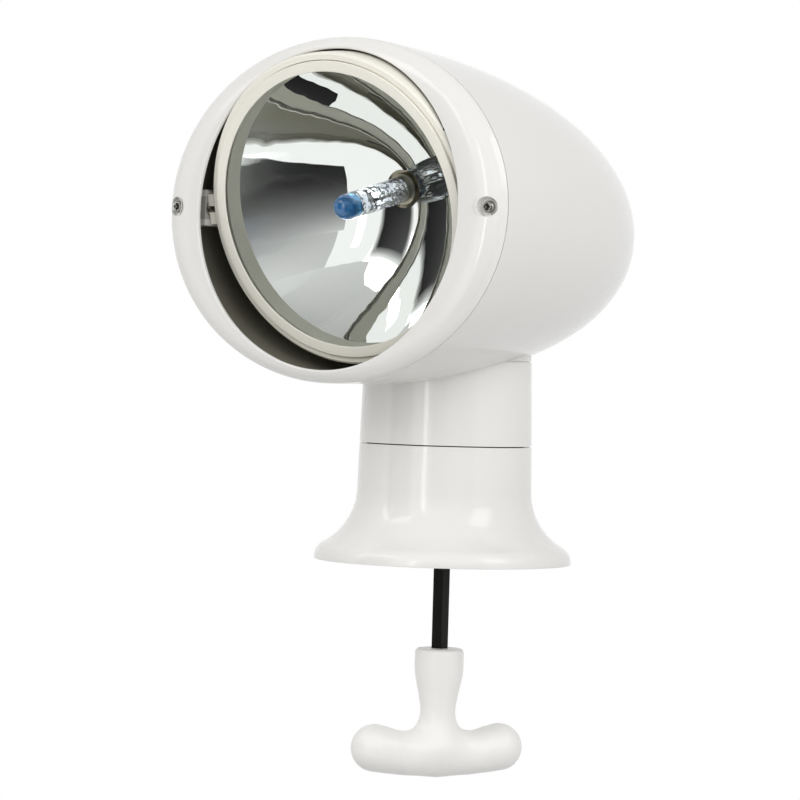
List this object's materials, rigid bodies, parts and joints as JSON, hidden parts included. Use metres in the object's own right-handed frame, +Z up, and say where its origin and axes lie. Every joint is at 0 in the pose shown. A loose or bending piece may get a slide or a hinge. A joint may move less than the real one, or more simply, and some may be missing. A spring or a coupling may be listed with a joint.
{
  "type": "marine searchlight",
  "caption": "Deck searchlight with an egg-shaped head on a flared pedestal; a square rod with a T-handle below the deck pans the head and tilts the lamp.",
  "frame": {"origin": "centre of the pedestal's underside, on the deck plane and the pan axis", "axes": "+Z up along the pan axis, the beam leaves towards -Y at rest, X across the head along the tilt axis"},
  "size_m": [0.1866, 0.2186, 0.3403],
  "materials": {
    "gelcoat_white": "smooth glossy white moulding",
    "bracket_white": "plain white moulding",
    "handle_white": "satin white moulding",
    "ring_cream": "satin cream moulding",
    "grey_plastic": "plain acetal",
    "black_rubber": "plain",
    "stainless": "turned",
    "brass": "plain",
    "lens_glass": "clear",
    "mirror_coat": "vacuum coated",
    "bulb_glass": "clear with a blue coated tip",
    "filament": "wire",
    "lever_metal": "plain",
    "black_rod": "black anodised"
  },
  "bodies": {
    "base": {"base_pedestal": "gelcoat_white", "base_plate": "grey_plastic", "plate_screws": "stainless", "deck_gasket": "black_rubber", "deck_inserts": "brass", "cable_grommet": "black_rubber", "pan_bush": "grey_plastic", "pan_seal": "black_rubber", "pan_stop_pin": "stainless"},
    "head": {"neck_collar": "gelcoat_white", "pan_spindle": "stainless", "head_screws": "stainless", "thrust_washer": "brass", "spindle_circlip": "stainless", "rod_guides": "grey_plastic", "rod_wiper": "black_rubber", "head_shell": "gelcoat_white", "front_bezel": "gelcoat_white", "bezel_seal": "black_rubber", "bezel_screws": "stainless", "tilt_bracket_left": "bracket_white", "tilt_bracket_right": "bracket_white", "trunnion_bushes": "grey_plastic"},
    "lamp": {"lamp_carrier": "ring_cream", "trunnion_pins": "stainless", "retaining_ring": "ring_cream", "ring_screws": "stainless", "lens": "lens_glass", "lens_gasket": "black_rubber", "reflector": "mirror_coat", "bulb_glass": "bulb_glass", "bulb_filament": "filament", "bulb_base": "brass", "bulb_terminals": "brass", "bulb_clip": "stainless", "clip_screws": "stainless", "tilt_lever": "lever_metal", "lever_screws": "stainless"},
    "control": {"control_rod": "black_rod", "rod_fork": "lever_metal", "drive_pin": "stainless", "fork_roll_pin": "stainless", "handle": "handle_white", "handle_grub_screw": "stainless"}
  },
  "joints": [
    {"name": "head_pan", "type": "hinge", "parent": "base", "child": "head", "pos_m": [0, 0, 0.055], "axis": [0, 0, 1], "range_deg": [-165, 165]},
    {"name": "lamp_tilt", "type": "hinge", "parent": "head", "child": "lamp", "pos_m": [0, -0.08695, 0.16157], "axis": [1, 0, 0], "range_deg": [-28, 7]},
    {"name": "rod_slide", "type": "slide", "parent": "head", "child": "control", "axis": [0, 0, 1], "range_m": [-0.04403, 0.01101]}
  ],
  "couplings": [
    {"joint": "rod_slide", "follows": "lamp_tilt", "m_per_rad": 0.0901}
  ]
}
